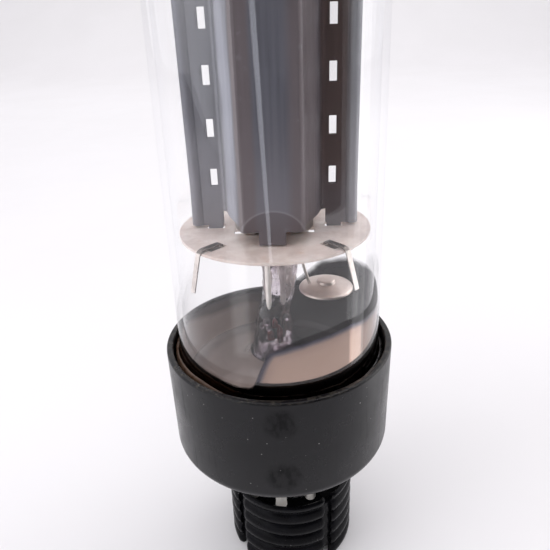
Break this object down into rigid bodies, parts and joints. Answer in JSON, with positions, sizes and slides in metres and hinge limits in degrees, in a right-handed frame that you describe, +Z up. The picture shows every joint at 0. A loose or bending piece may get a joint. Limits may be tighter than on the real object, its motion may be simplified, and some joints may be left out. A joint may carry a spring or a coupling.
{
  "type": "octal base glass power vacuum tube with pin sleeve",
  "caption": "Octal-base glass vacuum power tube with its electrode cage, black moulded base and a slotted push-on sleeve guarding the pins.",
  "frame": {"origin": "centre of the standing footprint, on the surface the pin sleeve stands on", "axes": "+Z up along the tube from the pin sleeve to the glass dome; -Y is the side the front anode face looks to"},
  "size_m": [0.045, 0.045, 0.134],
  "materials": {
    "sleeve_plastic": "glossy moulded black",
    "base_phenolic": "satin black moulding",
    "pin_nickel": "bright plated",
    "cement": "dark rough basing cement",
    "bulb_glass": "clear, mirror getter film inside the lower end",
    "stem_glass": "clear pressed glass",
    "mica": "sprayed mica, dull",
    "anode_coating": "carbonised grey sheet",
    "beam_steel": "plain sheet",
    "cathode_coating": "white oxide coating",
    "heater_coating": "white alumina coating",
    "grid_metal": "drawn wire",
    "bright_nickel": "bright nickel"
  },
  "bodies": {
    "sleeve": {"pin_sleeve": "sleeve_plastic"},
    "tube": {"base_shell": "base_phenolic", "pin_1": "pin_nickel", "pin_2": "pin_nickel", "pin_3": "pin_nickel", "pin_4": "pin_nickel", "pin_5": "pin_nickel", "pin_6": "pin_nickel", "pin_7": "pin_nickel", "pin_8": "pin_nickel", "base_cement": "cement", "glass_bulb": "bulb_glass", "glass_stem": "stem_glass", "exhaust_tube": "stem_glass", "mica_bottom": "mica", "mica_top": "mica", "anode_front": "anode_coating", "anode_rear": "anode_coating", "beam_plate_left": "beam_steel", "beam_plate_right": "beam_steel", "cathode_sleeve": "cathode_coating", "heater": "heater_coating", "control_grid": "grid_metal", "screen_grid": "grid_metal", "getter_pan": "bright_nickel", "getter_wire": "bright_nickel", "mica_spring_1": "bright_nickel", "mica_spring_2": "bright_nickel", "mica_spring_3": "bright_nickel", "mica_spring_4": "bright_nickel", "lead_1": "bright_nickel", "lead_2": "bright_nickel", "lead_3": "bright_nickel", "lead_4": "bright_nickel", "lead_5": "bright_nickel", "lead_6": "bright_nickel"}
  },
  "joints": [
    {"name": "tube_lift", "type": "slide", "parent": "sleeve", "child": "tube", "axis": [0, 0, 1], "range_m": [0, 0.02]}
  ]
}
